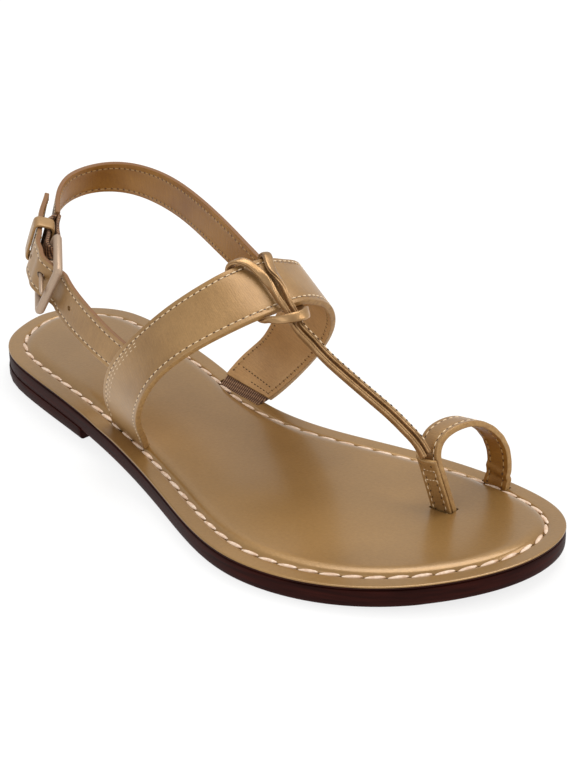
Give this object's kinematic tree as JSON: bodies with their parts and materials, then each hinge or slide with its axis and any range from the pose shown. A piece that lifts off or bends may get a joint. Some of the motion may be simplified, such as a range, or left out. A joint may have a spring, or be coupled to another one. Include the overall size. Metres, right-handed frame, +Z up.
{
  "type": "toe loop sandal",
  "caption": "Open flat sandal with a bent sole, broad instep strap, knotted T strap, toe post and loop, and a buckled heel strap.",
  "frame": {"origin": "on the floor under the middle of the sole", "axes": "+X from heel to toe, +Y towards the big toe side, +Z up"},
  "size_m": [0.2474, 0.0972, 0.0774],
  "materials": {
    "sole_leather": "dark red-brown dyed and waxed sole edge",
    "insole_leather": "metallic gold leather, soft sheen",
    "gold_leather": "metallic gold leather with fine grain",
    "woven_elastic": "dark brown ribbed elastic",
    "buckle_metal": "matte pale gold plating"
  },
  "bodies": {
    "root": {"outsole": "sole_leather", "heel_lift": "sole_leather", "footbed": "insole_leather", "instep_strap": "gold_leather", "medial_gore": "woven_elastic", "sling_front": "gold_leather", "sling_heel": "gold_leather", "sling_elastic": "woven_elastic", "keeper_loop": "gold_leather", "buckle_frame": "buckle_metal", "buckle_prong": "buckle_metal", "t_strap": "gold_leather", "toe_post_tab": "gold_leather", "toe_loop": "gold_leather"}
  },
  "joints": []
}
